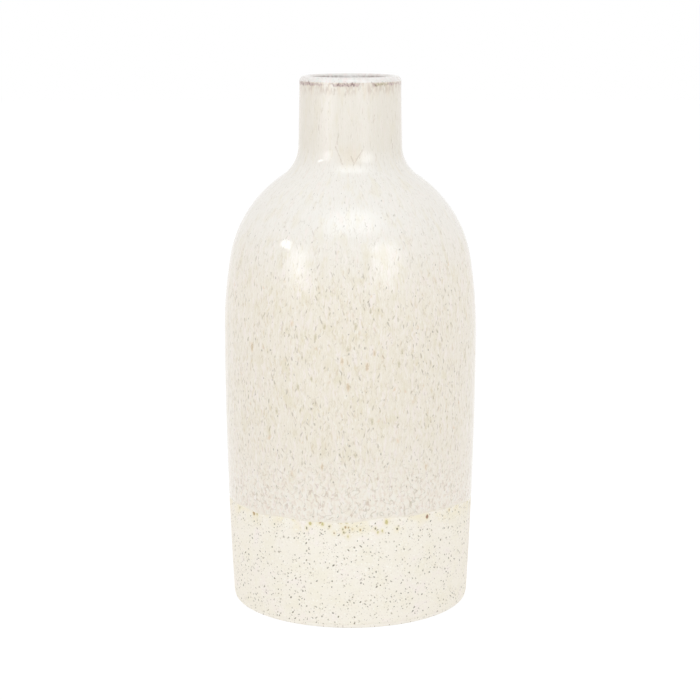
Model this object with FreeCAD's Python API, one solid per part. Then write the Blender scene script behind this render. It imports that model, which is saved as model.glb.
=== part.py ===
import FreeCAD, Part
import math
import os

# Bottle vase in glazed stoneware. Millimetres, +Z up.
# The origin is the centre of the plane that the foot stands on.
# The wall is turned about +Z: a belly that swells slowly from the foot, a flatter flank above the
# widest ring, a domed shoulder, a hollow throat and a short straight neck with a rounded lip.
# Each glaze is a thin coat seated face to face on the clay, so the clay lies one coat inside the
# finished surface.

# Outside form, measured on the finished surface
height = 250.0
body_radius = 60.0
widest_height = 127.5
foot_inset = 3.3
flank_radius = 231.0
dome_inset = 2.3
throat_radius = 16.8
neck_radius = 23.7
neck_flare = 1.3

# Wall, floor and lip
wall = 5.0
neck_wall = 4.8
floor_wall = 7.0
floor_fillet = 14.0

# Foot ring, the sloping recess inside it, and how far up from the ground the foot is wiped bare
foot_ring = 8.0
foot_bevel = 1.0
foot_wipe = 1.5
recess_depth = 3.0
recess_run = 3.5

# Glaze coats, and the level of the line where the two outside glazes meet
gloss_coat = 0.40
matt_coat = 0.25
glaze_line = 50.9

# The line wanders up and down round the vase. Each wave has its count, its height as a share of
# glaze_wander, and the turn in degrees, from the front towards +X, where it crests.
glaze_wander = 1.0
wave_shares = (
    (1, 0.50, 20.0),
    (2, 1.00, 20.0),
    (4, 0.50, 35.0),
    (9, 0.30, 13.0),
    (15, 0.25, -10.0),
)
wave_points = 90

# How far a cutting body runs past what it cuts
overrun = 10.0

# Worked out from the values above
belly_radius = (foot_inset ** 2 + widest_height ** 2) / (2 * foot_inset)
dome_radius = body_radius - dome_inset
bore_radius = neck_radius - neck_wall
lip_radius = neck_wall / 2
floor_height = recess_depth + floor_wall
recess_radius = body_radius - foot_inset - foot_ring

# Headings in the plane of the profile, from outwards round to upwards
OUTWARDS = 0.0
UPWARDS = math.pi / 2
INWARDS = math.pi
DOWNWARDS = -math.pi / 2
FLANK_TOP = math.acos((flank_radius - body_radius) / (flank_radius - dome_radius))
NECK_SIDE = math.radians(neck_flare)


def point(radius, level):
    return FreeCAD.Vector(radius, 0, level)


def towards(heading):
    return point(math.cos(heading), math.sin(heading))


def heading_between(start, end):
    return math.atan2(end.z - start.z, end.x - start.x)


def heading_at_level(centre, radius, level):
    return math.asin((level - centre.z) / radius)


# Centres of the arcs of the outside form. The dome is part of a ball, so its centre is on the axis.
belly_centre = point(body_radius - belly_radius, widest_height)
flank_centre = point(body_radius - flank_radius, widest_height)
dome_centre = point(0, widest_height + (flank_radius - dome_radius) * math.sin(FLANK_TOP))
lip_centre = point(bore_radius + lip_radius, height - lip_radius)


def outer_throat_centre():
    # The throat's arc touches the dome and the neck's side, which leans out by neck_flare
    side = lip_centre.dot(towards(NECK_SIDE)) + lip_radius
    across = side + throat_radius - dome_centre.dot(towards(NECK_SIDE))
    along = math.sqrt((dome_radius + throat_radius) ** 2 - across ** 2)
    return dome_centre + towards(NECK_SIDE) * across + towards(NECK_SIDE + UPWARDS) * along


def inner_throat_centre():
    # The same touch on the inside, where the bore is a true cylinder
    across = bore_radius + throat_radius + wall - dome_centre.x
    along = math.sqrt((dome_radius + throat_radius) ** 2 - across ** 2)
    return dome_centre + point(across, along)


def corner_centre(radius, level, arc_centre, arc_radius):
    # Centre of a round of this radius that stands on a level and lies against an arc from inside
    rise = level + radius - arc_centre.z
    return point(arc_centre.x + math.sqrt((arc_radius - radius) ** 2 - rise ** 2), level + radius)


# A profile is a list of arcs: centre, radius, and the headings where each starts and ends.
# A corner is an arc of no radius, and straight lines join each arc to the next.


def corner(radius, level):
    return (point(radius, level), 0.0, OUTWARDS, OUTWARDS)


def backwards(arcs):
    return [(centre, radius, end, start) for centre, radius, start, end in reversed(arcs)]


def outside(depth, start):
    # From the heading where the belly starts to the lip's outer corner, at a depth below the finish
    throat_centre = outer_throat_centre()
    dome_top = heading_between(dome_centre, throat_centre)
    return [
        (belly_centre, belly_radius - depth, start, OUTWARDS),
        (flank_centre, flank_radius - depth, OUTWARDS, FLANK_TOP),
        (dome_centre, dome_radius - depth, FLANK_TOP, dome_top),
        (throat_centre, throat_radius + depth, dome_top - INWARDS, NECK_SIDE - INWARDS),
        (lip_centre, lip_radius - depth, NECK_SIDE, NECK_SIDE),
    ]


def inside(depth):
    # From the middle of the floor up the inner wall to the foot of the bore
    belly = belly_radius - wall
    fillet_centre = corner_centre(floor_fillet, floor_height, belly_centre, belly)
    belly_start = heading_between(belly_centre, fillet_centre)
    throat_centre = inner_throat_centre()
    dome_top = heading_between(dome_centre, throat_centre)
    return [
        corner(0, floor_height - depth),
        (fillet_centre, floor_fillet + depth, DOWNWARDS, belly_start),
        (belly_centre, belly + depth, belly_start, OUTWARDS),
        (flank_centre, flank_radius - wall + depth, OUTWARDS, FLANK_TOP),
        (dome_centre, dome_radius - wall + depth, FLANK_TOP, dome_top),
        (throat_centre, throat_radius + wall - depth, dome_top - INWARDS, -INWARDS),
    ]


def lip():
    # The finished lip is a half round from the bore over to the neck's side
    return [(lip_centre, lip_radius, INWARDS, NECK_SIDE)]


def clay_lip():
    # Under the glaze, which rounds it over, the lip is cut with a bevel each side of a flat top
    cuts = [INWARDS, (UPWARDS + INWARDS) / 2, UPWARDS / 2, NECK_SIDE]
    return [(lip_centre, lip_radius - gloss_coat, cut, cut) for cut in cuts]


def recess(depth, lowest):
    # From the middle of the recess's roof down its sloping side to a level
    slope = math.atan2(recess_depth, recess_run)
    radii = [recess_radius - level / math.tan(slope) + depth / math.sin(slope)
             for level in (recess_depth + depth, lowest)]
    return [corner(0, recess_depth + depth), corner(radii[0], recess_depth + depth), corner(radii[1], lowest)]


def turned(arcs):
    # Solid of revolution about Z from a closed profile
    edges = []
    here = arcs[-1][0] + towards(arcs[-1][3]) * arcs[-1][1]
    for centre, radius, start, end in arcs:
        ends = [centre + towards(heading) * radius for heading in (start, (start + end) / 2, end)]
        if not here.isEqual(ends[0], Part.Precision.confusion()):
            edges.append(Part.LineSegment(here, ends[0]).toShape())
        if start != end:
            edges.append(Part.Arc(*ends).toShape())
        here = ends[2]
    profile = Part.Face(Part.Wire(edges))
    return profile.revolve(point(0, 0), towards(UPWARDS), 360)


def line_level(turn):
    waves = sum(share * math.cos(count * turn - math.radians(count * crest))
                for count, share, crest in wave_shares)
    return glaze_line + glaze_wander * waves


def line_ring(radius):
    # The glaze line drawn on an upright cylinder of this radius
    turns = [2 * math.pi * i / wave_points for i in range(wave_points)]
    ring = Part.BSplineCurve()
    ring.interpolate(
        Points=[FreeCAD.Vector(radius * math.sin(turn), -radius * math.cos(turn), line_level(turn))
                for turn in turns],
        PeriodicFlag=True)
    return ring.toShape()


def below_glaze_line():
    # A thick ring whose top is the wavy glaze line, to part the two outside coats
    top = Part.makeRuledSurface(line_ring(body_radius - wall - overrun), line_ring(body_radius + overrun))
    return top.extrude(point(0, -glaze_line - overrun))


def stoneware_body():
    clay = belly_radius - gloss_coat
    belly_start = heading_at_level(belly_centre, clay, foot_bevel)
    edge = belly_centre + towards(belly_start) * clay
    ground = [corner(edge.x - foot_bevel, 0)]
    return turned(recess(matt_coat, 0) + ground + outside(gloss_coat, belly_start)
                  + backwards(inside(gloss_coat) + clay_lip()))


def liner_glaze():
    return turned(inside(0) + lip() + backwards(inside(gloss_coat) + clay_lip()))


def reactive_glaze(band):
    ends = [heading_at_level(belly_centre, belly_radius - depth, foot_wipe) for depth in (0, gloss_coat)]
    coat = turned(outside(0, ends[0]) + backwards(outside(gloss_coat, ends[1])))
    return coat.cut(band).Solids[0]


def base_glaze(band):
    # Matt coat on the clay from the foot's wipe line up to the glaze line
    skins = [belly_radius - gloss_coat + matt_coat, belly_radius - gloss_coat]
    ends = [heading_at_level(belly_centre, skin, foot_wipe) for skin in skins]
    coat = turned([(belly_centre, skins[0], ends[0], OUTWARDS), (belly_centre, skins[1], OUTWARDS, ends[1])])
    return coat.common(band).Solids[0]


def recess_glaze():
    return turned(recess(0, foot_wipe) + backwards(recess(matt_coat, foot_wipe)))


band = below_glaze_line()
nodes = {
    "stoneware_body": stoneware_body(),
    "liner_glaze": liner_glaze(),
    "reactive_glaze": reactive_glaze(band),
    "base_glaze": base_glaze(band),
    "recess_glaze": recess_glaze(),
}

os.makedirs("parts", exist_ok=True)
for name, shape in nodes.items():
    shape.exportStep("parts/" + name + ".step")
    box = shape.BoundBox
    print(name, "solids", len(shape.Solids), "valid", shape.isValid(), "volume", round(shape.Volume, 1),
          "radius", round(box.XMax, 3), "levels", round(box.ZMin, 3), round(box.ZMax, 3))
throat = inner_throat_centre()
print("bore radius", round(bore_radius, 3), "from", round(throat.z, 3), "to", round(lip_centre.z, 3))
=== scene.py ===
from functools import cached_property
from math import acos, asin, atan2, cos, inf, pi, radians, sin, sqrt, tan

import bpy
import numpy as np
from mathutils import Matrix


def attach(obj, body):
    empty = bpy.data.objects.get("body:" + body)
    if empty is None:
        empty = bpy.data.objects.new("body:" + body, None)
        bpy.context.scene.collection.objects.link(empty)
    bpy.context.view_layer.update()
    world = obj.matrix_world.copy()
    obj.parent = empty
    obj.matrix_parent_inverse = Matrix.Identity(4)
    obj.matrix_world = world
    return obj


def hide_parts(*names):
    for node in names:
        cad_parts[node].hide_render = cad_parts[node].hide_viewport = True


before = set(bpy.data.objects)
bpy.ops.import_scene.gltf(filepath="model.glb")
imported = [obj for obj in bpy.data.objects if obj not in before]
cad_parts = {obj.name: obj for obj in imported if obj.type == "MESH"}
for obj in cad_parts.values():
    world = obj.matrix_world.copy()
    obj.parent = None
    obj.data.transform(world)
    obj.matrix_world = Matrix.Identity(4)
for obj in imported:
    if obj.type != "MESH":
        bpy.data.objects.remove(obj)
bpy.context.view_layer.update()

# Bottle vase in glazed stoneware: five turned shells, one for each solid of the frame, dressed in
# node materials. Lengths of the form are in millimetres, as in the CAD source.
MM = 0.001

# The form, with the values of the CAD source
HEIGHT = 250.0
BODY_RADIUS = 60.0
WIDEST_HEIGHT = 127.5
FOOT_INSET = 3.3
FLANK_RADIUS = 231.0
DOME_INSET = 2.3
THROAT_RADIUS = 16.8
NECK_RADIUS = 23.7
NECK_FLARE = 1.3
WALL = 5.0
NECK_WALL = 4.8
FLOOR_WALL = 7.0
FLOOR_FILLET = 14.0
FOOT_RING = 8.0
FOOT_WIPE = 1.5
RECESS_DEPTH = 3.0
RECESS_RUN = 3.5
GLOSS_COAT = 0.40
MATT_COAT = 0.25
GLAZE_LINE = 50.9
GLAZE_WANDER = 1.0
WAVE_SHARES = ((1, 0.50, 20.0), (2, 1.00, 20.0), (4, 0.50, 35.0), (9, 0.30, 13.0), (15, 0.25, -10.0))

BELLY_RADIUS = (FOOT_INSET ** 2 + WIDEST_HEIGHT ** 2) / (2 * FOOT_INSET)
DOME_RADIUS = BODY_RADIUS - DOME_INSET
BORE_RADIUS = NECK_RADIUS - NECK_WALL
LIP_RADIUS = NECK_WALL / 2
FLOOR_HEIGHT = RECESS_DEPTH + FLOOR_WALL
RECESS_RADIUS = BODY_RADIUS - FOOT_INSET - FOOT_RING
NECK_SIDE = radians(NECK_FLARE)
FLANK_TOP = acos((FLANK_RADIUS - BODY_RADIUS) / (FLANK_RADIUS - DOME_RADIUS))

# Steps along curves, how near points count as one, and from how many degrees an edge is sharp
ARC_STEP = 0.25
LIP_STEP = 0.1
ROUND_STEP = 0.15
SAME_POINT = 1e-6
SHARP_ANGLE = 50

# How skins are divided: columns round the axis, then the spacing of rows along the profile, which
# starts at FINE_ROW on a fine edge and grows to ROW
COLUMNS = 400
ROW = 1.05
FINE_ROW = 0.22
FINE_GROWTH = 0.25
INNER_ROW = 2.2
MOUTH_ROW = 0.5
UNDER_ROW = 1.5
UNDER_BACK_ROW = 6.0
HIDDEN_ROW = 4.0

# Patterns are laid out round a cylinder of this radius, and narrow with the wall
FLOW_RADIUS = 58.0


def ray(heading):
    return np.array([cos(heading), sin(heading)])


def heading_between(start, end):
    return atan2(end[1] - start[1], end[0] - start[0])


BELLY = np.array([BODY_RADIUS - BELLY_RADIUS, WIDEST_HEIGHT])
FLANK = np.array([BODY_RADIUS - FLANK_RADIUS, WIDEST_HEIGHT])
DOME = np.array([0.0, WIDEST_HEIGHT + (FLANK_RADIUS - DOME_RADIUS) * sin(FLANK_TOP)])
LIP = np.array([BORE_RADIUS + LIP_RADIUS, HEIGHT - LIP_RADIUS])


def throat_centre(side, lean, radius):
    """Centre of the throat's arc, which touches the dome and a side that leans out."""
    across = side + radius - DOME @ ray(lean)
    along = sqrt((DOME_RADIUS + THROAT_RADIUS) ** 2 - across ** 2)
    return DOME + ray(lean) * across + ray(lean + pi / 2) * along


def runs_along(points):
    """How far along a line of points each of them is."""
    return np.concatenate([[0.0], np.cumsum(np.hypot(*np.diff(points, axis=0).T))])


def arc(centre, radius, start, end, side=1, step=ARC_STEP):
    """Points and normals along an arc; side is -1 where the air is on its hollow side."""
    count = max(2, int(abs(end - start) * radius / step))
    angles = np.linspace(start, end, count)
    rays = np.stack([np.cos(angles), np.sin(angles)], axis=1)
    return np.hstack([centre + radius * rays, side * rays])


def finished_profile():
    """The glazed surface from the foot up, over the lip and down to the floor's middle.

    Each row holds radius, height and normal. The second result counts the rows up the outside.
    """
    outer = throat_centre(LIP @ ray(NECK_SIDE) + LIP_RADIUS, NECK_SIDE, THROAT_RADIUS)
    inner = throat_centre(BORE_RADIUS, 0.0, THROAT_RADIUS + WALL)
    top, inner_top = heading_between(DOME, outer), heading_between(DOME, inner)
    belly_inside = BELLY_RADIUS - WALL
    rise = FLOOR_HEIGHT + FLOOR_FILLET - BELLY[1]
    fillet = np.array([BELLY[0] + sqrt((belly_inside - FLOOR_FILLET) ** 2 - rise ** 2),
                       FLOOR_HEIGHT + FLOOR_FILLET])
    turn_in = heading_between(BELLY, fillet)
    up = [arc(BELLY, BELLY_RADIUS, asin(-BELLY[1] / BELLY_RADIUS), 0),
          arc(FLANK, FLANK_RADIUS, 0, FLANK_TOP),
          arc(DOME, DOME_RADIUS, FLANK_TOP, top),
          arc(outer, THROAT_RADIUS, top - pi, NECK_SIDE - pi, side=-1)]
    over = [arc(LIP, LIP_RADIUS, NECK_SIDE, pi, step=LIP_STEP)]
    down = [arc(inner, THROAT_RADIUS + WALL, -pi, inner_top - pi),
            arc(DOME, DOME_RADIUS - WALL, inner_top, FLANK_TOP, side=-1),
            arc(FLANK, FLANK_RADIUS - WALL, FLANK_TOP, 0, side=-1),
            arc(BELLY, belly_inside, 0, turn_in, side=-1),
            arc(fillet, FLOOR_FILLET, turn_in, -pi / 2, side=-1),
            np.array([[0.0, FLOOR_HEIGHT, 0.0, 1.0]])]
    rows = np.concatenate(up + over + down)
    steps = np.hypot(*np.diff(rows[:, :2], axis=0).T)
    keep = np.concatenate([[True], steps > SAME_POINT])
    return rows[keep], sum(len(part) for part in up)


PROFILE, OUTSIDE_ROWS = finished_profile()
RUN = runs_along(PROFILE[:, :2])


def run_at_height(height):
    """How far along the outside profile a height is."""
    outside = PROFILE[:, 1] < HEIGHT - LIP_RADIUS
    outside[OUTSIDE_ROWS:] = False
    return np.interp(height, PROFILE[outside, 1], RUN[outside])


LIP_RUN = float(RUN[np.argmin(np.hypot(*(PROFILE[:, :2] - LIP - LIP_RADIUS * ray(NECK_SIDE)).T))])
END_RUN = float(RUN[-1])
TURNS = 2 * pi * np.arange(COLUMNS) / COLUMNS


def wall_points(run, depth):
    """Radius and height of points that lie a run along the profile and a depth under the finish."""
    run, depth = np.broadcast_arrays(run, depth)
    column = [np.interp(run, RUN, PROFILE[:, k]) for k in range(4)]
    length = np.hypot(column[2], column[3])
    return column[0] - depth * column[2] / length, column[1] - depth * column[3] / length


def line_run():
    """The wavy glaze line as a run along the profile for each column."""
    waves = sum(share * np.cos(count * (TURNS - radians(crest))) for count, share, crest in WAVE_SHARES)
    return run_at_height(GLAZE_LINE + GLAZE_WANDER * waves)


def swell(run, waves, seed):
    """Shallow waves from 0 to 1, each with its count round the wall and its length up the wall."""
    draw = np.random.default_rng(seed)
    total = np.zeros(np.broadcast_shapes(np.shape(run), (1, COLUMNS)))
    for count, length in waves:
        phase, slant = draw.uniform(0, 2 * pi), draw.choice([-1, 1])
        total = total + np.cos(count * TURNS + slant * 2 * pi * run / length + phase)
    return 0.5 + 0.5 * total / len(waves)


def ease(value, low, high):
    """Smoothly 0 at low and 1 at high."""
    share = np.clip((value - low) / (high - low), 0, 1)
    return share * share * (3 - 2 * share)


def divided(length, fine):
    """Shares of a length for the rows of a skin, which stand close over its first, fine stretch."""
    marks = [0.0]
    while marks[-1] < length:
        past = max(0.0, marks[-1] - fine)
        marks.append(marks[-1] + min(ROW, FINE_ROW + FINE_GROWTH * past))
    return np.array(marks) / marks[-1]


def back_runs(low, high, count):
    """Rows of a coat's hidden side, from its upper edge down to its lower one."""
    return low + np.linspace(1, 0, count)[:, None] * (high - low)


def rounded(corners):
    """Points along straight runs between corners, each given as radius, height and its rounding."""
    points = [np.array(corners[0][:2])]
    for before, here, after in zip(corners, corners[1:], corners[2:]):
        corner = np.array(here[:2])
        back, on = np.array(before[:2]) - corner, np.array(after[:2]) - corner
        back, on = back / np.hypot(*back), on / np.hypot(*on)
        half = acos(np.clip(back @ on, -1, 1)) / 2
        centre = corner + (back + on) / np.hypot(*(back + on)) * here[2] / sin(half)
        tangents = [corner + side * here[2] / tan(half) for side in (back, on)]
        first, last = [heading_between(centre, tangent) for tangent in tangents]
        last = first + (last - first + pi) % (2 * pi) - pi
        count = max(3, int(here[2] * abs(last - first) / ROUND_STEP))
        points += [centre + here[2] * ray(angle) for angle in np.linspace(first, last, count)]
    points.append(np.array(corners[-1][:2]))
    return np.array(points)


def spread(points, step):
    """A profile with points added on its long straight runs."""
    rows = [points[0]]
    for start, end in zip(points, points[1:]):
        count = max(1, int(np.hypot(*(end - start)) / step))
        rows += [start + (end - start) * k / count for k in range(1, count + 1)]
    return np.array(rows)


def placed(name, data):
    """A new object in the scene."""
    made = bpy.data.objects.new(name, data)
    bpy.context.scene.collection.objects.link(made)
    return made


class Shell:
    """A closed turned mesh, built from rings of points in the order of its profile.

    Each point has its place on the patterns' cylinder, and its rise above the glaze line.
    """

    def __init__(self):
        self.points, self.flows, self.rises, self.rings = [], [], [], []

    def _add(self, radius, height, run, rise, flat):
        start = sum(len(part) for part in self.points)
        count = len(radius)
        turns = TURNS if count > 1 else np.zeros(1)
        across, along = np.sin(turns), -np.cos(turns)
        self.points.append(np.stack([radius * across, radius * along, height], axis=1) * MM)
        if flat:
            turns, run = radius * across / FLOW_RADIUS, radius * along + run
        flow = [FLOW_RADIUS * np.sin(turns), -FLOW_RADIUS * np.cos(turns), run]
        self.flows.append(np.stack(flow, axis=1))
        self.rises.append(rise)
        self.rings.append(np.arange(start, start + count))

    def skin(self, run, depth, rise=0.0, flat_from=inf):
        """Adds a ring for each row of run, which holds one number for the ring or one a column.

        Past flat_from the skin's pattern lies on the flat, as on a floor, and doesn't run round.
        """
        run = np.broadcast_to(run, (len(run), COLUMNS))
        depth, rise = np.broadcast_to(depth, run.shape), np.broadcast_to(rise, run.shape)
        radius, height = wall_points(run, depth)
        for row in range(len(run)):
            flat = run[row].min() > flat_from
            self._add(radius[row], height[row], END_RUN if flat else run[row], rise[row], flat)

    def turn(self, profile, run=0.0, rise=0.0, flat=False):
        """Adds a ring for each point of a profile, or a pole where it meets the axis."""
        for (radius, height), step in zip(profile, runs_along(profile)):
            ring = np.full(COLUMNS if radius > 0 else 1, 1.0)
            here = run if flat else run + step
            self._add(radius * ring, height * ring, here * ring, rise * ring, flat)

    def faces(self):
        """Quads between rings and triangles round poles."""
        made = {4: [], 3: []}
        for ring, following in zip(self.rings, self.rings[1:] + self.rings[:1]):
            low, high = np.broadcast_to(ring, COLUMNS), np.broadcast_to(following, COLUMNS)
            sides = [low] + [np.roll(low, -1)] * (len(ring) > 1)
            sides += [np.roll(high, -1)] * (len(following) > 1) + [high]
            if len(sides) in made:
                made[len(sides)].append(np.stack(sides, axis=1))
        return [np.concatenate(part) for part in made.values() if part]

    def build(self, name):
        points, flows, faces = np.concatenate(self.points), np.concatenate(self.flows), self.faces()
        corners = np.concatenate([part.ravel() for part in faces])
        sizes = np.concatenate([np.full(len(part), part.shape[1]) for part in faces])
        starts = np.concatenate([[0], np.cumsum(sizes)[:-1]])
        mesh = bpy.data.meshes.new(name)
        mesh.vertices.add(len(points))
        mesh.vertices.foreach_set("co", points.ravel())
        mesh.loops.add(len(corners))
        mesh.loops.foreach_set("vertex_index", corners.astype(np.int32))
        mesh.polygons.add(len(sizes))
        mesh.polygons.foreach_set("loop_start", starts.astype(np.int32))
        mesh.polygons.foreach_set("use_smooth", np.ones(len(sizes), dtype=bool))
        mesh.attributes.new("flow", "FLOAT_VECTOR", "POINT").data.foreach_set("vector", flows.ravel())
        mesh.attributes.new("rise", "FLOAT", "POINT").data.foreach_set("value", np.concatenate(self.rises))
        mesh.update(calc_edges=True)
        mesh.validate()
        mesh.set_sharp_from_angle(angle=radians(SHARP_ANGLE))
        return placed(name, mesh)


# Swells of the coats: waves, how deep they reach and the run over which they start
UPRIGHT = 900
WALL_WAVES = ((3, 190), (5, 120), (7, 75), (11, 52), (4, 33), (9, 27))
LIP_WAVES = ((2, UPRIGHT), (3, UPRIGHT), (5, UPRIGHT), (8, UPRIGHT))
RAGGED_WAVES = ((5, UPRIGHT), (13, UPRIGHT), (23, UPRIGHT))
GLOSS_SWELL = 0.10
MATT_SWELL = 0.05
LINER_SWELL = 0.09
SWELL_START = 8.0
LIP_SWELL_START = 2.5

# Lower edges of the outside coats: how deep and how far they thin out, the run with fine rows,
# and the rows on the hidden side
GLOSS_EDGE = 0.12
GLOSS_EDGE_RUN = 2.2
GLOSS_FINE = 2.5
GLOSS_BACK_ROWS = 60
MATT_EDGE = 0.1
MATT_EDGE_RUN = 1.0
MATT_FINE = 1.0
MATT_BACK_ROWS = 16
MATT_RAGGED = 0.45

# Runs of the liner: over the lip, down the mouth in finer rows, how near they come to the floor's
# middle, and how far round it the pattern lies flat
LIP_OVER = 1.25 * pi * LIP_RADIUS
LIP_ROWS = 34
LIP_BACK_STRIDE = 4
MOUTH_RUN = 4.0
LINER_POLE_GAP = 2.0
LINER_FLAT = 38.0

# Runs of the clay: up to its wall from the rounded foot, over the lip, down inside and near the
# floor's middle
RING_SIDE = 1.6
CLAY_START = 2.4
CLAY_LIP = 7.5
CLAY_LIP_ROWS = 12
CLAY_INSIDE = 9.0
CLAY_POLE_GAP = 3.0

# Rounds of the foot ring and of the recess
RING_OUTER_ROUND = 1.2
RING_INNER_ROUND = 0.8
CLAY_ROOF_ROUND = 1.5
COAT_ROOF_ROUND = 1.4

# Where the patterns under the foot lie, away from the wall's
FOOT_PATTERN = -58.0
RECESS_PATTERN = -120.0
RECESS_RISE = -50.0


def gloss_shell():
    """Outside coat from the glaze line up to the lip's outer corner, thinned out at the line."""
    line = line_run()
    run = line + divided(LIP_RUN - line.mean(), GLOSS_FINE)[:, None] * (LIP_RUN - line)
    rise = run - line
    rolled = GLOSS_EDGE * (1 - ease(rise, 0.0, GLOSS_EDGE_RUN)) ** 2
    waves = GLOSS_SWELL * swell(run, WALL_WAVES, seed=11) * ease(rise, 0, SWELL_START)
    waves = waves * ease(LIP_RUN - run, 0, SWELL_START)
    hidden = back_runs(line, LIP_RUN, GLOSS_BACK_ROWS)
    shell = Shell()
    shell.skin(run, rolled + waves, rise)
    shell.skin(hidden, GLOSS_COAT, hidden - line)
    return shell.build("gloss_coat")


def matt_shell():
    """Outside coat from just above the foot, where it was wiped, up to the glaze line."""
    line = line_run()
    ragged = run_at_height(FOOT_WIPE) + MATT_RAGGED * swell(np.zeros((1, 1)), RAGGED_WAVES, seed=5)
    run = ragged + divided(line.mean(), MATT_FINE)[:, None] * (line - ragged)
    waves = MATT_SWELL * swell(run, WALL_WAVES, seed=23) * ease(line - run, 0, SWELL_START)
    wiped = MATT_EDGE * (1 - ease(run - ragged, 0.0, MATT_EDGE_RUN)) ** 2
    hidden = back_runs(ragged, line, MATT_BACK_ROWS)
    shell = Shell()
    shell.skin(run, GLOSS_COAT - MATT_COAT + waves + wiped, run - line)
    shell.skin(hidden, GLOSS_COAT, hidden - line)
    return shell.build("matt_coat")


def liner_shell():
    """Coat over the lip from its outer corner, down the bore and wall, and over the floor."""
    over = np.linspace(LIP_RUN, LIP_RUN + LIP_OVER, LIP_ROWS)
    mouth_end = over[-1] + MOUTH_RUN
    run = np.concatenate([over, np.arange(over[-1] + MOUTH_ROW, mouth_end, MOUTH_ROW),
                          np.arange(mouth_end, END_RUN - LINER_POLE_GAP, INNER_ROW)])[:, None]
    waves = LINER_SWELL * swell(run, LIP_WAVES, seed=31) * ease(run, LIP_RUN, LIP_RUN + LIP_SWELL_START)
    hidden = np.concatenate([np.arange(END_RUN - HIDDEN_ROW, over[-1], -HIDDEN_ROW),
                             over[::-LIP_BACK_STRIDE], over[:1]])[:, None]
    shell = Shell()
    shell.skin(run, waves, run - LIP_RUN, flat_from=END_RUN - LINER_FLAT)
    shell.turn(np.array([[0.0, FLOOR_HEIGHT]]), END_RUN, flat=True)
    shell.turn(np.array([[0.0, FLOOR_HEIGHT - GLOSS_COAT]]), END_RUN)
    shell.skin(hidden, GLOSS_COAT, hidden - LIP_RUN)
    return shell.build("liner_coat")


def recess_side(level, depth):
    """Radius of the recess's sloping side at a level, a depth behind its finish."""
    slope = atan2(RECESS_DEPTH, RECESS_RUN)
    return RECESS_RADIUS - level / tan(slope) + depth / sin(slope)


def recess_corners(lowest, depth, roof_round, low_round=0.0):
    """Corners from the middle of the recess's roof down its side to a level, behind its finish."""
    roof = RECESS_DEPTH + depth
    return [(0.0, roof, 0.0), (recess_side(roof, depth), roof, roof_round),
            (recess_side(lowest, depth), lowest, low_round)]


def clay_shell():
    """The clay: the foot ring with its rounded edges, and the walls that the coats lie on."""
    radii, heights = wall_points(np.array([0.0, RING_SIDE]), GLOSS_COAT)
    foot = recess_corners(0.0, MATT_COAT, CLAY_ROOF_ROUND, RING_INNER_ROUND)
    foot += [(radii[0], 0.0, RING_OUTER_ROUND), (radii[1], heights[1], 0.0)]
    run = np.concatenate([np.arange(CLAY_START, LIP_RUN, HIDDEN_ROW),
                          np.linspace(LIP_RUN, LIP_RUN + CLAY_LIP, CLAY_LIP_ROWS),
                          np.arange(LIP_RUN + CLAY_INSIDE, END_RUN - CLAY_POLE_GAP, HIDDEN_ROW)])[:, None]
    shell = Shell()
    shell.turn(spread(rounded(foot), UNDER_ROW), FOOT_PATTERN)
    shell.skin(run, GLOSS_COAT)
    shell.turn(np.array([[0.0, FLOOR_HEIGHT - GLOSS_COAT]]), END_RUN)
    return shell.build("clay_body")


def recess_shell():
    """Matt coat on the roof of the recess and down its side to the wiped ring."""
    back = spread(rounded(recess_corners(FOOT_WIPE, MATT_COAT, CLAY_ROOF_ROUND)), UNDER_BACK_ROW)[::-1]
    skin = spread(rounded(recess_corners(FOOT_WIPE, 0.0, COAT_ROOF_ROUND)), UNDER_ROW)
    shell = Shell()
    for side in (back, skin):
        shell.turn(side, RECESS_PATTERN, RECESS_RISE, flat=True)
    return shell.build("recess_coat")


# Node trees. A wire is one node output, which sums and products take as they take numbers.


def operator(name):
    """A method that adds the Math node of one operation."""
    def method(wire, *others):
        return wire.graph.calc(name, wire, *others)
    return method


class Wire:
    def __init__(self, graph, socket):
        self.graph, self.socket = graph, socket

    def __rsub__(self, other):
        return self.graph.calc("SUBTRACT", other, self)

    def fade(self, low, high):
        """Smoothly 0 at low and 1 at high; low may be the greater."""
        levels = {"Value": self, "From Min": low, "From Max": high}
        return self.graph.node("MapRange", levels, interpolation_type="SMOOTHSTEP")

    def span(self, low, high):
        """0 to 1 stretched to run from low to high."""
        return self * (high - low) + low

    __add__ = __radd__ = operator("ADD")
    __mul__ = __rmul__ = operator("MULTIPLY")
    __sub__, __truediv__ = operator("SUBTRACT"), operator("DIVIDE")
    __lt__, __abs__ = operator("LESS_THAN"), operator("ABSOLUTE")


# Sockets of a Mix node that mixes colours
MIX_SHARE, MIX_UNDER, MIX_OVER, MIX_RESULT = 0, 6, 7, 2


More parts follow.
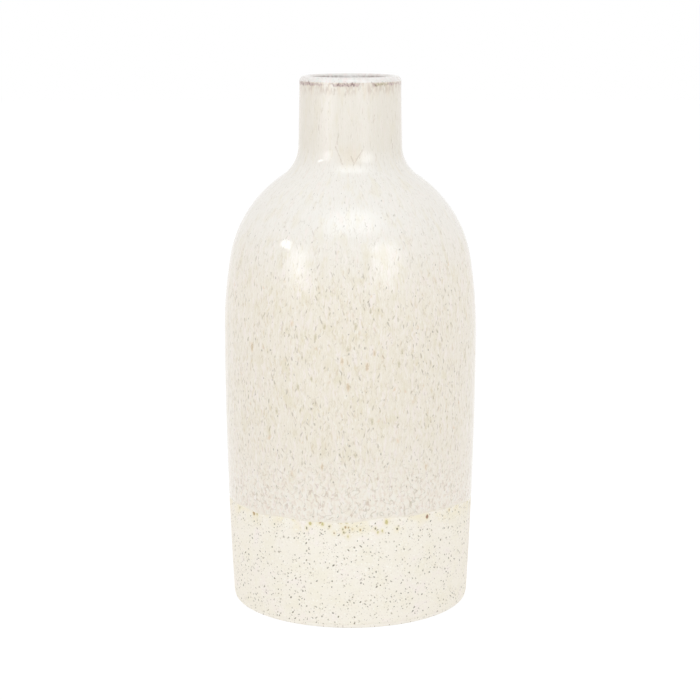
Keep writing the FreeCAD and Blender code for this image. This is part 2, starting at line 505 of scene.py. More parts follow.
class Graph:
    """A node tree, with a short name for each kind of node that is made in it."""

    def __init__(self, tree):
        self.tree = tree

    def feed(self, socket, value):
        if isinstance(value, Wire):
            self.tree.links.new(value.socket, socket)
        else:
            socket.default_value = value

    def make(self, kind, inputs=(), **settings):
        """A new node with its settings and inputs."""
        made = self.tree.nodes.new("ShaderNode" + kind)
        for key, value in settings.items():
            setattr(made, key, value)
        for key, value in dict(inputs).items():
            self.feed(made.inputs[key], value)
        return made

    def node(self, kind, inputs=(), output=0, **settings):
        """One output of a new node."""
        return Wire(self, self.make(kind, inputs, **settings).outputs[output])

    def calc(self, operation, *values):
        return self.node("Math", enumerate(values), operation=operation)

    def vector(self, operation, *values, output=0):
        return self.node("VectorMath", enumerate(values), output, operation=operation)

    def stretch(self, vector, length):
        return self.node("VectorMath", {0: vector, "Scale": length}, operation="SCALE")

    def split(self, vector):
        return [Wire(self, output) for output in self.make("SeparateXYZ", {0: vector}).outputs]

    def blend(self, under, over, share):
        tints = {MIX_SHARE: share, MIX_UNDER: under, MIX_OVER: over}
        return self.node("Mix", tints, MIX_RESULT, data_type="RGBA")

    def deepest(self, wires):
        """The greatest of several values."""
        total = wires[0]
        for wire in wires[1:]:
            total = self.calc("MAXIMUM", total, wire)
        return total

    def seen_directly(self):
        """1 on rays from the camera, gloss and glass, and 0 on those that only carry light."""
        path = self.make("LightPath")
        names = ("Is Camera Ray", "Is Glossy Ray", "Is Transmission Ray")
        return self.deepest([Wire(self, path.outputs[name]) for name in names])


# How a seed shifts each kind of pattern along the three axes
NOISE_SHIFT = (1.0, 0.7, 1.3)
WANDER_SHIFT = (1.0, 1.0, 1.0)
DROP_SHIFT = (1.0, 1.7, 2.3)

# Least size of a scattered drop as a share of the greatest, and the shuffle that gives its slant
DROP_LEAST = 0.45
DROP_SHUFFLE = 7.3

COAT_IOR = 1.5
GLOSS_ROUGHNESS = 0.045
LINER_ROUGHNESS = 0.08
MATT_ROUGHNESS = 0.55
CLAY_ROUGHNESS = 0.75


class Finish(Graph):
    """The node material of a coat, whose colour is painted on layer by layer."""

    def __init__(self, name, ground):
        self.material = bpy.data.materials.new(name)
        self.material.use_nodes = True
        super().__init__(self.material.node_tree)
        self.shader = self.tree.nodes["Principled BSDF"]
        self.shader.inputs["IOR"].default_value = COAT_IOR
        self.colour = ground

    @cached_property
    def flow(self):
        """The place on the patterns' cylinder, in millimetres."""
        return self.node("Attribute", output="Vector", attribute_name="flow")

    @cached_property
    def run(self):
        """How far along the profile from the foot, in millimetres."""
        return self.split(self.flow)[2]

    @cached_property
    def rise(self):
        """How far above the glaze line, in millimetres along the wall."""
        return self.node("Attribute", output="Fac", attribute_name="rise")

    @cached_property
    def place(self):
        return self.split(self.vector("MULTIPLY", self.node("TexCoord", output="Object"), (1 / MM,) * 3))

    @cached_property
    def turn(self):
        """Angle from the front round towards +X, in degrees."""
        return self.calc("ARCTAN2", self.place[0], self.place[1] * -1.0) * (180 / pi)

    @property
    def height(self):
        return self.place[2]

    def paint(self, ink, share, most=None):
        """Lays an ink over the colour so far, by a share that may be held to a part of itself."""
        if most is not None:
            share = share * most
        self.colour = self.blend(self.colour, ink, share)

    def cells(self, place, across, along, shift, seed):
        """The place counted in cells of a size, and moved by a seed."""
        counted = self.vector("MULTIPLY", place, (1 / across, 1 / across, 1 / along))
        return self.vector("ADD", counted, tuple(seed * part for part in shift))

    def noise(self, size, seed, place=None, detail=2.0, roughness=0.5):
        """Smooth noise about 0.5; size is its grain in millimetres, or across and along."""
        across, along = size if isinstance(size, tuple) else (size, size)
        moved = self.cells(self.flow if place is None else place, across, along, NOISE_SHIFT, seed)
        levels = {"Vector": moved, "Scale": 1.0, "Detail": detail, "Roughness": roughness}
        return self.node("TexNoise", levels)

    def wander(self, place, size, reach, seed):
        """The place moved about by smooth noise, so that what is drawn there bends."""
        moved = self.cells(place, size, size, WANDER_SHIFT, seed)
        colour = self.node("TexNoise", {"Vector": moved, "Scale": 1.0, "Detail": 1.0}, "Color")
        offset = self.vector("SUBTRACT", colour, (0.5,) * 3)
        return self.vector("ADD", place, self.stretch(offset, reach * 2.0))

    def scatter(self, place, amount, cell, width, seed, up=1.0, down=1.0, edge=0.35, lean=0.0):
        """Scattered drops, 1 inside and 0 outside, with three random numbers a drop.

        amount is the share of drops that there are, cell their spacing across and along, width
        the greatest half width, up and down the length above and below the middle over the width,
        edge the share that is full, and lean how far a drop may slant.
        """
        across, along = cell
        grid = self.cells(place, across, along, DROP_SHIFT, seed)
        drops = self.make("TexVoronoi", {"Vector": grid, "Scale": 1.0})
        offset = self.vector("SUBTRACT", grid, Wire(self, drops.outputs["Position"]))
        offset = self.vector("MULTIPLY", offset, (across, across, along))
        sideways = self.vector("CROSS_PRODUCT", (0.0, 0.0, 1 / FLOW_RADIUS), place)
        beside = self.vector("DOT_PRODUCT", offset, sideways, output="Value")
        above = self.split(offset)[2]
        chance = self.split(Wire(self, drops.outputs["Color"]))
        if lean:
            slant = self.calc("FRACT", chance[2] * DROP_SHUFFLE) - 0.5
            beside = beside + above * slant * (2 * lean)
        long = self.calc("MAXIMUM", above, 0.0) / up + self.calc("MINIMUM", above, 0.0) / down
        far = self.calc("SQRT", beside * beside + long * long)
        size = chance[0].span(DROP_LEAST, 1.0) * width
        return far.fade(size, size * edge) * (chance[1] < amount), chance

    def speckle(self, place, amount, ink, least, most, zone=1.0, **drops):
        """Paints scattered drops, each as strong as its own chance from least to most."""
        drop, chance = self.scatter(place, amount, **drops)
        self.paint(ink, drop * chance[2].span(least, most) * zone)
        return drop

    def by_turn(self, strengths):
        """A value that changes evenly between chosen turns."""
        ramp = self.make("ValToRGB", {0: self.turn * (1 / 360) + 0.5})
        stops = ramp.color_ramp.elements
        while len(stops) < len(strengths):
            stops.new(0.5)
        for stop, (where, strength) in zip(stops, strengths):
            stop.position = where / 360 + 0.5
            stop.color = (strength,) * 3 + (1.0,)
        return Wire(self, ramp.outputs[0])

    def from_front(self, level, turn_weight=1.0, height_weight=1.0):
        """How far a place is from the middle of the front at a level, with weights each way."""
        above = self.height - level
        return self.calc("SQRT", self.turn * self.turn * turn_weight + above * above * height_weight)

    def blots(self, marks, squash):
        """How deep in millimetres a place lies in small runs of glaze at chosen spots."""
        wobble = (self.noise(0.8, seed=113) - 0.5) * 1.1
        depths = []
        for where, level, size in marks:
            across = (self.turn - where) * (radians(1) * BODY_RADIUS)
            above = self.height - level
            depths.append(size - self.calc("SQRT", across * across + above * above * squash))
        return self.deepest(depths) - wobble

    def strokes(self, marks):
        """1 on short thin strokes drawn between chosen ends on the neck, and 0 away from them."""
        flat = self.node("CombineXYZ", {0: self.turn * (radians(1) * NECK_RADIUS), 1: self.height})
        rough = (self.noise(1.1, seed=107) - 0.5) * 1.1
        drawn = []
        for first, first_level, last, last_level, half in marks:
            start = (first * radians(1) * NECK_RADIUS, first_level, 0.0)
            along = (last * radians(1) * NECK_RADIUS - start[0], last_level - first_level, 0.0)
            offset = self.vector("SUBTRACT", flat, start)
            share = self.vector("DOT_PRODUCT", offset, along, output="Value")
            share = share * (1 / (along[0] ** 2 + along[1] ** 2))
            share = self.calc("MINIMUM", self.calc("MAXIMUM", share, 0.0), 1.0)
            far = self.vector("DISTANCE", offset, self.stretch(along, share), output="Value") + rough
            drawn.append(far.fade(half * 1.2, 0.0))
        return self.deepest(drawn)

    def done(self, relief, roughness):
        """The material, with its relief given as a height in millimetres."""
        bump = self.node("Bump", {"Strength": 1.0, "Distance": MM, "Height": relief})
        for name, value in (("Normal", bump), ("Base Color", self.colour), ("Roughness", roughness)):
            self.feed(self.shader.inputs[name], value)
        return self.material


def tint(red, green, blue):
    """A colour as it looks on a screen, turned into the numbers that a shader takes."""
    def level(value):
        share = value / 255
        return share / 12.92 if share <= 0.04045 else ((share + 0.055) / 1.055) ** 2.4
    return (level(red), level(green), level(blue), 1.0)


# How strong the dark break along the lip's outer corner is, by turn from the front in degrees
RIM_STRENGTHS = (
    (-180, 0.7), (-165, 0.9), (-150, 0.2), (-138, 0.8), (-118, 0.9), (-108, 0.3), (-95, 0.85),
    (-60, 0.95), (-47, 0.8), (-42, 0.4), (-35, 0.5), (-30, 0.15), (-22, 0.25), (-18, 0.75), (-6, 0.85),
    (8, 0.9), (11, 0.08), (23, 0.1), (27, 0.9), (33, 0.75), (44, 0.45), (52, 0.8), (58, 0.3),
    (78, 0.55), (92, 0.9), (104, 0.25), (120, 0.75), (133, 0.9), (142, 0.2), (155, 0.6), (168, 0.95),
    (180, 0.7),
)
RIM_DEPTH = 0.9
RIM_DRIFT = 3.2
RIM_CRUMBLE = 2.2
RIM_OLIVE_TURN = 37.0
RIM_HALO = tint(192, 168, 164)
RIM_HALO_OLIVE = tint(186, 174, 140)
RIM_HEART = tint(98, 66, 70)
RIM_HEART_OLIVE = tint(104, 88, 54)


def rim_break(glaze):
    """Paints the dark broken line where glaze thinned out over the lip's outer corner."""
    drift = glaze.noise((3.2, 5000.0), seed=3, detail=3.0)
    crumble = glaze.noise((1.5, 1.1), seed=8, detail=3.0, roughness=0.6)
    strength = glaze.by_turn(RIM_STRENGTHS)
    level = LIP_RUN - RIM_DEPTH + (drift - 0.5) * RIM_DRIFT
    reach = strength.span(0.3, 1.25) + (crumble - 0.5) * RIM_CRUMBLE
    band = abs(glaze.run - level).fade(reach, reach * 0.25 - 0.1) * strength.fade(0.0, 0.6)
    olive = abs(glaze.turn - RIM_OLIVE_TURN).fade(12.0, 5.0)
    glaze.paint(glaze.blend(RIM_HALO, RIM_HALO_OLIVE, olive), band, most=0.65)
    spots = glaze.noise((1.3, 0.9), seed=17).fade(0.44, 0.56) * band * strength
    spots = spots * glaze.noise((3.4, 9.0), seed=19).fade(0.4, 0.56).span(0.3, 1.0)
    glaze.paint(glaze.blend(RIM_HEART, RIM_HEART_OLIVE, olive), spots, most=0.78)
    return band


# Strokes of dark glaze that stand at chosen places: turn and height of both ends, and half width
NECK_STROKES = (
    (-16, 218.7, -7.9, 210.9, 0.34), (13.2, 217.4, 3.2, 210.9, 0.34), (0.8, 214.5, 3.4, 211.8, 0.42),
    (-17.3, 244.6, -18.2, 242.4, 0.34), (-5, 243.6, -5.2, 241.2, 0.34),
    (-37.2, 245.4, -37, 244.2, 0.36), (-31.7, 236, -31.6, 234.5, 0.3), (-36.8, 228.6, -36.6, 226, 0.32),
    (10.9, 216.2, 9.6, 213.6, 0.28), (27.4, 233, 25.6, 229.4, 0.28), (-13.8, 223.4, -14.2, 219.8, 0.3),
    (53, 219.6, 53.4, 215.2, 0.3), (112, 219, 119, 211.4, 0.34), (136, 218.2, 128, 211, 0.34),
    (-151, 243.8, -151.5, 240.6, 0.36), (-122, 236.4, -121.6, 232, 0.3), (166, 232, 166.4, 227, 0.3),
    (84, 243.9, 83.7, 241.6, 0.36),
)

# How strong the wide pale runs down the neck are, by turn from the front in degrees. They are runs of
# glaze, except the two near the front, at -26 and 15, which are painted highlights.
NECK_RUN_AND_HIGHLIGHT_STRENGTHS = (
    (-180, 0.3), (-160, 0.9), (-146, 0.2), (-120, 0.1), (-104, 0.8), (-90, 0.2), (-60, 0.0), (-42, 0.1),
    (-26, 1.0), (-13, 0.15), (-6, 0.3), (4, 0.15), (15, 0.6), (26, 0.05), (60, 0.0), (84, 0.6),
    (98, 0.1), (130, 0.7), (146, 0.1), (165, 0.5), (180, 0.3),
)

# Rust, then olive drops that stand out on the body: halo, heart, and turn, height and half width of each
DROPS = (
    (tint(229, 208, 178), tint(174, 146, 96),
     ((-3.5, 126.5, 0.6), (7.2, 123.8, 0.7), (-1, 114.8, 0.7), (10.3, 129.9, 0.5), (-48.4, 129.1, 0.8),
      (-12.4, 77.4, 0.6), (35.6, 74.8, 0.55), (78, 121, 0.65), (131, 127, 0.7), (168, 118, 0.65),
      (-141, 109, 0.65), (-76, 122, 0.65))),
    (tint(219, 209, 180), tint(164, 151, 110),
     ((9.4, 98.8, 0.65), (-15, 137.1, 0.6), (-11.2, 141.8, 0.6), (-1, 131.7, 0.6), (-23.2, 113.7, 0.6),
      (2.3, 142.3, 0.6), (-16.9, 118.1, 0.5), (21.3, 124.3, 0.65), (8.8, 149.1, 0.55),
      (22.7, 129.8, 0.55), (2.2, 82.9, 0.55), (42.7, 130.8, 0.55), (-34, 101, 0.55), (48, 96, 0.55),
      (96, 139, 0.6), (112, 104, 0.65), (149, 86, 0.6), (-162, 141, 0.6), (-119, 132, 0.6),
      (-97, 94, 0.6))),
)
DROP_SQUASH = 0.16

# Heights between which the gloss glaze changes, from none to all of its body, low and neck zones
ZONES = ((192.0, 150.0), (92.0, 56.0), (206.0, 221.0))
# Heights over which the pale neck runs and the painted neck highlights come in
NECK_RUN_AND_HIGHLIGHT_ZONE = (208.0, 222.0)
# Height of the middle of the painted shade on the front of the body
FRONT_SHADE_HEIGHT = 118.0
THROAT_HEIGHT = 214.0

# Tints of the gloss glaze, in the order in which they are laid
SHOULDER_CREAM = tint(234, 230, 222)
BODY_CREAM = tint(235, 228, 214)
NECK_CREAM = tint(230, 224, 212)
# Pale cream of the neck runs, also the colour of the painted neck highlights
NECK_RUN_AND_HIGHLIGHT_CREAM = tint(243, 237, 228)
CLOUD_TAN = tint(225, 217, 193)
# Painted shade, tinted golden, on the front of the body
CLOUD_PINK = tint(235, 223, 214)
FRONT_SHADE_GOLDEN = tint(228, 214, 182)
LOW_CREAM = tint(240, 233, 221)
FIBRE_TAN = tint(208, 196, 168)
FIBRE_WHITE = tint(246, 243, 235)
MILK_RUN = tint(241, 232, 226)
VEIL_GOLD = tint(212, 198, 156)
VEIL_BROWN = tint(206, 184, 152)
FLECK_OLIVE = tint(144, 124, 80)
FLECK_BROWN = tint(126, 108, 80)
CURL_OLIVE = tint(152, 142, 108)
CURL_RED = tint(170, 141, 118)
MILK_WHITE = tint(241, 241, 233)
MILK_PINK = tint(210, 186, 168)
LINE_TAN = tint(204, 178, 132)
LINE_CREAM = tint(241, 234, 219)
THROAT_TAN = tint(226, 211, 186)
STAIN_TAN = tint(226, 208, 184)
UNDER_LIP = tint(204, 189, 174)
STROKE_BROWN = tint(158, 132, 100)

# Scattered marks of the gloss glaze
VEILS = dict(cell=(2.7, 6.5), width=0.62, up=4.4, down=3.6, seed=41, edge=0.1, lean=0.25)
FLECKS = dict(cell=(2.1, 4.6), width=0.45, up=4.2, down=3.3, seed=53, edge=0.4, lean=0.45)
HANGINGS = dict(ink=tint(176, 163, 134), least=0.12, most=0.5, cell=(3.8, 10.0), width=0.66, up=5.0,
                down=4.0, seed=61, edge=0.05, lean=0.15)
RUST_SPOTS = dict(ink=tint(216, 176, 126), least=0.1, most=0.4, cell=(8.0, 11.0), width=1.3, up=1.9,
                  down=1.4, seed=59, edge=0.0, lean=0.5)
DOTS = dict(ink=tint(104, 86, 60), least=0.1, most=0.54, cell=(3.4, 4.2), width=0.46, up=1.9, down=1.3,
            seed=67)


class ReactiveGlaze(Finish):
    """Cream gloss glaze with tan fibres and flecks, and curls near the glaze line."""

    def __init__(self):
        super().__init__("reactive_glaze_gloss", SHOULDER_CREAM)
        self.body, self.low, self.neck = [self.height.fade(*zone) for zone in ZONES]
        slow = self.wander(self.flow, 3.6, reach=0.9, seed=4)
        self.bent = self.wander(slow, 1.3, reach=0.35, seed=2)
        self.busy = self.noise((14.0, 22.0), seed=12).fade(0.3, 0.68)
        wide = self.wander(self.flow, 9.0, reach=1.2, seed=7)
        self.cloud = self.noise((5.0, 9.0), 21, wide, detail=3.0)

    def lay_ground(self):
        """Clouded cream, with pale runs down the neck, two of which are painted highlights, and painted
        shade on the front of the body.
        """
        self.paint(BODY_CREAM, self.body)
        self.paint(NECK_CREAM, self.neck)
        # Pale runs down the neck, with painted highlights at -26 and 15 degrees
        pale = self.by_turn(NECK_RUN_AND_HIGHLIGHT_STRENGTHS) * self.height.fade(*NECK_RUN_AND_HIGHLIGHT_ZONE)
        self.paint(NECK_RUN_AND_HIGHLIGHT_CREAM, pale, most=0.6)
        self.paint(CLOUD_TAN, self.cloud.fade(0.5, 0.72) * self.body.span(0.35, 0.6))
        self.paint(CLOUD_PINK, self.cloud.fade(0.42, 0.26), most=0.4)
        # Painted shade: a golden tint darkens the front of the body round its middle
        middle = self.from_front(FRONT_SHADE_HEIGHT, height_weight=0.8).fade(64.0, 6.0)
        self.paint(FRONT_SHADE_GOLDEN, middle, most=0.14)
        self.paint(LOW_CREAM, self.low * self.busy.span(0.5, 0.8))

    def lay_fibres(self):
        """Thin tan and white streaks, and wider milky runs."""
        rain = self.noise((0.6, 4.2), 31, self.bent, detail=3.0, roughness=0.6)
        fibre = self.body.span(0.3, 0.75) * self.low.span(1.0, 0.4)
        self.paint(FIBRE_TAN, rain.fade(0.5, 0.72) * fibre, most=0.54)
        self.paint(FIBRE_WHITE, rain.fade(0.46, 0.28) * fibre, most=0.8)
        milk = self.noise((1.3, 8.0), 35, self.bent)
        self.paint(MILK_RUN, milk.fade(0.5, 0.7) * self.body.span(0.3, 0.6))
        return rain

    def lay_veils(self):
        """Soft long drops under the flecks."""
        veil, chance = self.scatter(self.bent, self.body.span(0.2, 0.6), **VEILS)
        share = veil * self.body.span(0.14, 0.42) * self.low.span(1.0, 0.4)
        self.paint(self.blend(VEIL_GOLD, VEIL_BROWN, chance[2]), share)

    def lay_flecks(self):
        """Short dark flecks in clumps, thickest on the body."""
        clump = self.noise((3.4, 6.5), seed=57, detail=1.0).fade(0.38, 0.6)
        amount = (self.body * self.busy).span(0.3, 0.9) * clump.span(0.45, 1.15)
        fleck, chance = self.scatter(self.bent, amount, **FLECKS)
        share = fleck * chance[0].span(0.1, 0.43) * self.low.span(1.0, 0.5)
        share = share * self.body.span(0.5, 1.0) * self.neck.span(1.0, 0.4)
        self.paint(self.blend(FLECK_OLIVE, FLECK_BROWN, chance[2]), share)
        return fleck

    def lay_dots(self):
        """Long drops that hang on the neck, rust spots and small dark dots."""
        self.speckle(self.bent, self.neck * 0.5, **HANGINGS)
        self.speckle(self.bent, self.body * 0.22, **RUST_SPOTS)
        zone = self.body.span(0.75, 1.0) * self.neck.span(1.0, 0.6)
        return self.speckle(self.bent, self.busy.span(0.25, 0.6), zone=zone, **DOTS)

    def lay_chosen_drops(self):
        """The drops that stand out, each with a paler halo."""
        for halo, heart, marks in DROPS:
            depth = self.blots(marks, DROP_SQUASH)
            self.paint(halo, depth.fade(-0.4, 0.1), most=0.45)
            self.paint(heart, depth.fade(-0.1, 0.45), most=0.38)

    def lay_curls(self):
        """Fine curled lines, thickest above the glaze line, and milk between them."""
        twist = self.wander(self.flow, 2.4, reach=1.3, seed=71)
        upper = self.low.span(1.0, 0.0) * self.neck.span(1.0, 0.1)
        for seed, size, zone, most in ((73, (2.9, 5.0), self.low, 0.36), (79, (3.6, 4.2), self.low, 0.36),
                                       (93, (2.2, 8.0), upper, 0.15)):
            ridge = abs(self.noise(size, seed, twist, detail=0.0) - 0.5)
            gaps = self.noise((2.4, 2.4), seed + 2, detail=0.0).fade(0.42, 0.58)
            curls = ridge.fade(0.04, 0.008) * gaps * zone
            self.paint(self.blend(CURL_OLIVE, CURL_RED, self.cloud.fade(0.42, 0.62)), curls, most)
        milk = self.noise((1.3, 1.9), 85, twist, detail=1.0)
        self.paint(MILK_WHITE, milk.fade(0.48, 0.34) * self.low, most=0.3)
        self.paint(MILK_PINK, milk.fade(0.52, 0.68) * self.low, most=0.27)

    def lay_edges(self):
        """The thin edge at the glaze line, the tan throat and stains under the lip."""
        patchy = self.noise((6.0, 50.0), seed=83, detail=3.0).fade(0.42, 0.6)
        self.paint(LINE_TAN, self.rise.fade(1.1, 0.2) * patchy, most=0.22)
        self.paint(LINE_CREAM, self.rise.fade(1.9, 0.0), most=0.65)
        throat = self.from_front(THROAT_HEIGHT, turn_weight=0.17).fade(8.0, 1.0)
        self.paint(THROAT_TAN, throat, most=0.32)
        for stain, reach, end, size, seed, low, high, most in (
                (STAIN_TAN, 9.0, 2.0, (4.0, 14.0), 91, 0.45, 0.7, 0.35),
                (UNDER_LIP, 6.5, 3.0, (3.0, 3.4), 95, 0.4, 0.62, 0.55)):
            share = self.run.fade(LIP_RUN - reach, LIP_RUN - end)
            self.paint(stain, share * self.noise(size, seed).fade(low, high), most)
        self.paint(STROKE_BROWN, self.strokes(NECK_STROKES), most=0.27)
        return rim_break(self)


def reactive_material():
    glaze = ReactiveGlaze()
    glaze.lay_ground()
    rain = glaze.lay_fibres()
    glaze.lay_veils()
    fleck = glaze.lay_flecks()
    dot = glaze.lay_dots()
    glaze.lay_chosen_drops()
    glaze.lay_curls()
    rim = glaze.lay_edges()
    peel = glaze.noise(3.0, seed=101)
    relief = peel * 0.02 + rain * 0.006 - fleck * 0.004 - dot * 0.006
    cloudy = glaze.cloud.fade(0.4, 0.7)
    return glaze.done(relief, GLOSS_ROUGHNESS + 0.04 * cloudy + 0.12 * dot + 0.25 * rim)


# Runs along the glaze line, yellow, ochre, olive, red and dark: turn, height and radius of each
BLOTS = (
    (tint(196, 184, 122),
     ((-47.7, 49.8, 0.7), (-18.2, 50.2, 0.8), (-12.5, 50.3, 0.75), (-1.7, 51.7, 0.7), (-1, 44.8, 0.5),
      (12.4, 46.4, 0.55), (14.4, 46.9, 0.55), (16.3, 51, 0.95), (72, 50.2, 0.8), (121, 50, 0.7),
      (158, 50.2, 0.9), (-128, 49.8, 0.7), (-84, 48.6, 0.55))),
    (tint(172, 140, 92),
     ((-50, 49.9, 1.1), (-13.5, 51.4, 0.75), (-2.2, 49.3, 0.6), (-0.8, 49, 0.5), (0.9, 48.5, 0.5),
      (4.4, 47.9, 0.5), (51.8, 50.9, 0.6), (112, 50.5, 1), (176, 49.4, 0.6), (-149, 50.4, 1))),
    (tint(146, 136, 98),
     ((-63, 49.1, 0.6), (-41.3, 51.5, 0.7), (-26.4, 51.5, 0.55), (-3.3, 48.3, 0.5), (-2.9, 46.8, 0.55),
      (116, 48.4, 0.6), (-168, 50.6, 0.7))),
    (tint(142, 92, 70),
     ((-4.2, 51.6, 0.6), (-7.3, 46.3, 0.45), (37.1, 50.8, 0.95), (143, 48.8, 0.55), (-96, 50.1, 0.8))),
    (tint(80, 66, 54),
     ((-19.9, 47.8, 0.55), (-9.3, 49.4, 0.6), (11.2, 48.2, 0.5), (21.4, 47.2, 0.6), (88, 49.6, 0.6),
      (-145, 48.6, 0.5))),
)
BLOT_HALO = tint(238, 228, 198)
BLOT_EDGE = tint(228, 217, 172)
BLOT_SQUASH = 0.6

# Tints and scattered marks of the matt glaze
MATT_CREAM = tint(245, 239, 226)
MATT_YELLOW = tint(243, 237, 221)
MATT_PINK = tint(246, 237, 230)
GRAIN_TAN = tint(214, 204, 186)
WARM_CREAM = tint(240, 230, 200)
PALE_SPOT = tint(253, 250, 240)
SPECK_HALO = tint(192, 174, 130)
SPECK_HEART = tint(82, 66, 38)
PALE_SPOTS = dict(cell=(1.9, 1.9), width=0.55, seed=133)
SMALL_SPECKS = dict(ink=tint(140, 122, 98), least=0.1, most=0.5, cell=(1.5, 1.5), width=0.42, seed=137)
SPECKS = dict(cell=(2.5, 2.5), width=0.58, seed=149, up=1.5, edge=0.4, lean=0.9)


def lay_blots(glaze):
    """Paints the coloured runs under the glaze line, with one shared halo."""
    depths = [glaze.blots(marks, BLOT_SQUASH) for _, marks in BLOTS]
    depth = glaze.deepest(depths)
    glaze.paint(BLOT_HALO, depth.fade(-1.5, 0.0), most=0.4)
    glaze.paint(BLOT_EDGE, depth.fade(-0.3, 0.1), most=0.45)
    for (ink, _), own in zip(BLOTS, depths):
        glaze.paint(ink, own.fade(0.0, 0.4), most=0.85)
    return depth.fade(0.0, 0.4)


def matt_material():
    glaze = Finish("base_glaze_matt", MATT_CREAM)
    bent = glaze.wander(glaze.flow, 0.8, reach=0.34, seed=3)
    cloud = glaze.noise(9.0, seed=121, detail=3.0, roughness=0.55)
    glaze.paint(MATT_YELLOW, cloud.fade(0.45, 0.7))
    glaze.paint(MATT_PINK, cloud.fade(0.45, 0.28), most=0.65)
    grain = glaze.noise(0.8, seed=123, detail=3.0, roughness=0.65)
    glaze.paint(GRAIN_TAN, grain.fade(0.52, 0.78), most=0.35)
    warm = glaze.rise.fade(-9.0, -0.3) * glaze.noise((7.0, 9.0), seed=127).fade(0.4, 0.66)
    glaze.paint(WARM_CREAM, warm, most=0.65)

    crowd = glaze.noise(6.0, seed=131).fade(0.36, 0.62)
    pale, _ = glaze.scatter(bent, crowd.span(0.3, 0.9), **PALE_SPOTS)
    glaze.paint(PALE_SPOT, pale, most=0.75)
    glaze.speckle(bent, crowd.span(0.25, 0.75), **SMALL_SPECKS)
    speck, chance = glaze.scatter(bent, crowd.span(0.15, 0.85), **SPECKS)
    glaze.paint(SPECK_HALO, speck, most=0.3)
    glaze.paint(SPECK_HEART, speck * chance[2].span(0.2, 0.9))
    blot = lay_blots(glaze)

    relief = grain * 0.012 + glaze.noise(4.0, seed=151) * 0.03 - speck * 0.02 + blot * 0.03
    return glaze.done(relief, MATT_ROUGHNESS + 0.12 * grain - 0.2 * blot - 0.1 * speck)


# How strong the dark brown down the mouth's wall is, by turn from the front in degrees; it is partly a
# stain and partly painted shade inside the mouth
MOUTH_STAIN_AND_SHADE_STRENGTHS = (
    (-180, 0.1), (-168, 0.5), (-144, 1.0), (-122, 0.8), (-100, 0.3), (-40, 0.5), (0, 0.2), (60, 0.5),
    (100, 0.3), (128, 0.7), (140, 1.0), (156, 0.6), (168, 0.5), (180, 0.1),
)
LINER_WHITE = tint(234, 230, 225)
LINER_GREY = tint(228, 223, 217)
BLUSH_PINK = tint(233, 219, 214)
BLUSH_GREEN = tint(224, 230, 222)
# Painted shade: grey laid over the liner inside the mouth
INNER_SHADE_GREY = tint(214, 211, 206)
MOUTH_STAIN_AND_SHADE = tint(124, 90, 84)
LINER_DOTS = dict(ink=tint(116, 98, 88), least=0.15, most=0.8, cell=(2.6, 2.6), width=0.38, up=1.3,
                  down=1.3, seed=167)


def liner_material():
    glaze = Finish("liner_glaze_gloss", LINER_WHITE)
    cloud = glaze.noise(6.0, seed=161, detail=3.0)
    glaze.paint(LINER_GREY, cloud.fade(0.4, 0.65))
    blush = glaze.noise((3.4, 2.6), seed=165)
    glaze.paint(BLUSH_PINK, blush.fade(0.52, 0.68), most=0.7)
    glaze.paint(BLUSH_GREEN, blush.fade(0.44, 0.3), most=0.6)
    run = glaze.run - LIP_RUN
    # Painted shade inside the mouth: grey from the lip's inner edge down, and near the lip the dark brown,
    # which is partly stain and partly painted shade
    inner = run.fade(5.0, 6.8)
    stain = glaze.by_turn(MOUTH_STAIN_AND_SHADE_STRENGTHS) * run.fade(15.0, 8.0)
    stain = stain * glaze.noise(3.0, seed=163).fade(0.2, 0.6)
    glaze.paint(INNER_SHADE_GREY, inner, most=0.85)
    glaze.paint(MOUTH_STAIN_AND_SHADE, inner * stain, most=0.7)
    dot = glaze.speckle(glaze.wander(glaze.flow, 2.0, reach=0.4, seed=5), 0.7, **LINER_DOTS)
    rim = rim_break(glaze)
    relief = glaze.noise(3.0, seed=171) * 0.02 - dot * 0.006
    return glaze.done(relief, LINER_ROUGHNESS + 0.06 * cloud + 0.25 * rim)


CLAY_CREAM = tint(250, 245, 234)
CLAY_TAN = tint(247, 241, 229)
CLAY_GRAIN = tint(216, 204, 184)
CLAY_SPECKS = dict(ink=tint(96, 74, 54), least=0.4, most=0.95, cell=(2.2, 2.2), width=0.5, seed=187)


def clay_material():
    clay = Finish("bare_clay_rough", CLAY_CREAM)
    grain = clay.noise(0.5, seed=181, detail=4.0, roughness=0.7)
    clay.paint(CLAY_TAN, clay.noise(8.0, seed=183, detail=3.0).fade(0.35, 0.65))
    clay.paint(CLAY_GRAIN, grain.fade(0.5, 0.8), most=0.3)
    speck = clay.speckle(clay.flow, 0.7, **CLAY_SPECKS)
    return clay.done(grain * 0.05 - speck * 0.02, CLAY_ROUGHNESS + 0.15 * grain)


# The studio: sizes in metres, turns and elevations in degrees
WHITE = (1.0, 1.0, 1.0, 1.0)
FLOOR_SIZE = 8.0
FLOOR_GREY = (0.9, 0.9, 0.9, 1.0)
FLOOR_GLOW = 1.06
FLOOR_GLOW_SHARES = (0.2, 0.88)

DAYLIGHT = (1.0, 0.976, 0.962, 1.0)
DAYLIGHT_LEVEL = 0.82
FRONT = (0.0, -1.0, 0.0)
FRONT_DIP = 0.45
FRONT_DIP_START = 0.1

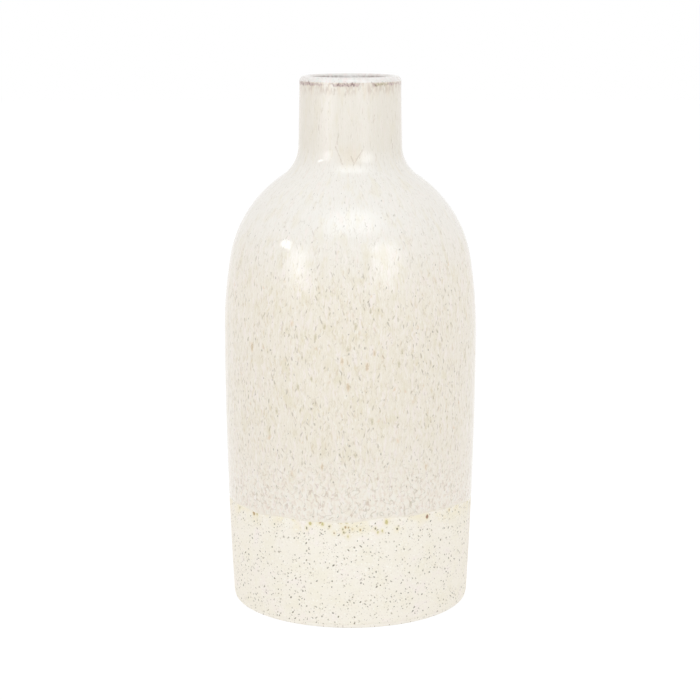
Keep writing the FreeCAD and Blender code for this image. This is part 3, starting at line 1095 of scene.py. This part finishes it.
# Lamps, as softboxes seen from the vase: turn from the front, elevation, width and height in
# degrees, brightness, the share of each side over which the edge fades, and a colour of its own
LAMP_AIM = (0.0, 0.0, 0.16)
LAMP_DISTANCE = 1.1
LAMP_TINT = (0.91, 0.945, 1.0)
SKY_TINT = (0.83, 0.925, 1.0)
LAMPS = (
    ("softbox_top", 4, 59, 66, 38, 1.85, 0.8, SKY_TINT),
    ("softbox_left", -52, 16.5, 31, 35, 2.2, 0.8),
    ("softbox_right", 35, 22.5, 38, 38, 1.95, 0.65),
    ("strip_left", -41, 7.5, 28, 12, 0.9, 0.6),
    ("strip_right", 31, 7, 32, 7.5, 0.9, 0.5),
    ("small_window", -69.5, 27.4, 12, 6.2, 4.2, 0.02),
)

CAMERA_PLACE = (-0.00015, -0.85246, 0.28859)
CAMERA_DIP = 11.2
CAMERA_LENS = 93.34
CAMERA_SENSOR = 36.0
CAMERA_CLIP = (0.01, 50.0)


def floor():
    """White floor that glows where it is seen, and takes the vase's shadow."""
    bpy.ops.mesh.primitive_plane_add(size=FLOOR_SIZE)
    ground = bpy.context.object
    ground.name = "studio_floor"
    material = bpy.data.materials.new("studio_floor_white")
    material.use_nodes = True
    graph = Graph(material.node_tree)
    share = graph.seen_directly().span(*FLOOR_GLOW_SHARES)
    lit = graph.node("BsdfDiffuse", {"Color": FLOOR_GREY})
    glow = graph.node("Emission", {"Color": WHITE, "Strength": FLOOR_GLOW})
    mixed = graph.node("MixShader", {0: share, 1: lit, 2: glow})
    graph.feed(graph.tree.nodes["Material Output"].inputs["Surface"], mixed)
    ground.data.materials.append(material)


def surroundings():
    """White all round: light that comes least from the front, and pure white where it is seen."""
    world = bpy.data.worlds.new("studio_white")
    bpy.context.scene.world = world
    world.use_nodes = True
    graph = Graph(world.node_tree)
    way = graph.node("TexCoord", output="Generated")
    facing = graph.vector("DOT_PRODUCT", way, FRONT, output="Value")
    levels = {"Value": facing, "From Min": FRONT_DIP_START, "To Min": DAYLIGHT_LEVEL,
              "To Max": DAYLIGHT_LEVEL * (1 - FRONT_DIP)}
    plain = graph.node("MapRange", levels, interpolation_type="SMOOTHSTEP")
    seen = graph.seen_directly()
    background = graph.tree.nodes["Background"]
    graph.feed(background.inputs["Color"], graph.blend(DAYLIGHT, WHITE, seen))
    strength = graph.node("MapRange", {"Value": seen, "To Min": plain, "To Max": 1.0})
    graph.feed(background.inputs["Strength"], strength)


def lamp(name, azimuth, elevation, wide, tall, brightness, soft, colour=LAMP_TINT):
    """One softbox whose light fades towards its sides."""
    turn, lift = radians(azimuth), radians(elevation)
    width, height = (2 * LAMP_DISTANCE * tan(radians(angle / 2)) for angle in (wide, tall))
    light = bpy.data.lights.new(name, "AREA")
    light.shape, light.size, light.size_y = "RECTANGLE", width, height
    light.energy = 4 * width * height * brightness
    light.color = colour
    light.use_nodes = True
    graph = Graph(light.node_tree)
    centred = graph.vector("SUBTRACT", graph.node("NewGeometry", output="Parametric"), (0.5, 0.5, 0.0))
    across, along = [abs(side).fade(0.5, 0.5 * (1 - soft)) for side in graph.split(centred)[:2]]
    graph.feed(graph.tree.nodes["Emission"].inputs["Strength"], across * along)
    box = placed(name, light)
    towards = np.array([sin(turn) * cos(lift), -cos(turn) * cos(lift), sin(lift)])
    box.location = np.array(LAMP_AIM) + LAMP_DISTANCE * towards
    box.rotation_euler = (pi / 2 - lift, 0.0, turn)
    box.visible_camera = False


def camera():
    view = bpy.data.cameras.new("photo_view")
    view.sensor_fit, view.sensor_width, view.lens = "HORIZONTAL", CAMERA_SENSOR, CAMERA_LENS
    view.clip_start, view.clip_end = CAMERA_CLIP
    eye = placed("photo_view", view)
    eye.location = CAMERA_PLACE
    eye.rotation_euler = (radians(90 - CAMERA_DIP), 0.0, 0.0)
    bpy.context.scene.camera = eye


# Shell, material, the solid that it stands for and that solid's material slot
PIECES = (
    (gloss_shell, reactive_material, "reactive_glaze", "reactive_glaze"),
    (matt_shell, matt_material, "base_glaze", "matt_glaze"),
    (liner_shell, liner_material, "liner_glaze", "liner_glaze"),
    (clay_shell, clay_material, "stoneware_body", "clay"),
    (recess_shell, matt_material, "recess_glaze", "matt_glaze"),
)

camera()
for make_shell, make_material, node, slot in PIECES:
    piece = make_shell()
    piece.data.materials.append(make_material())
    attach(piece, "root")
    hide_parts(node)

floor()
surroundings()
for settings in LAMPS:
    lamp(*settings)

bpy.context.scene.view_settings.view_transform = "Standard"
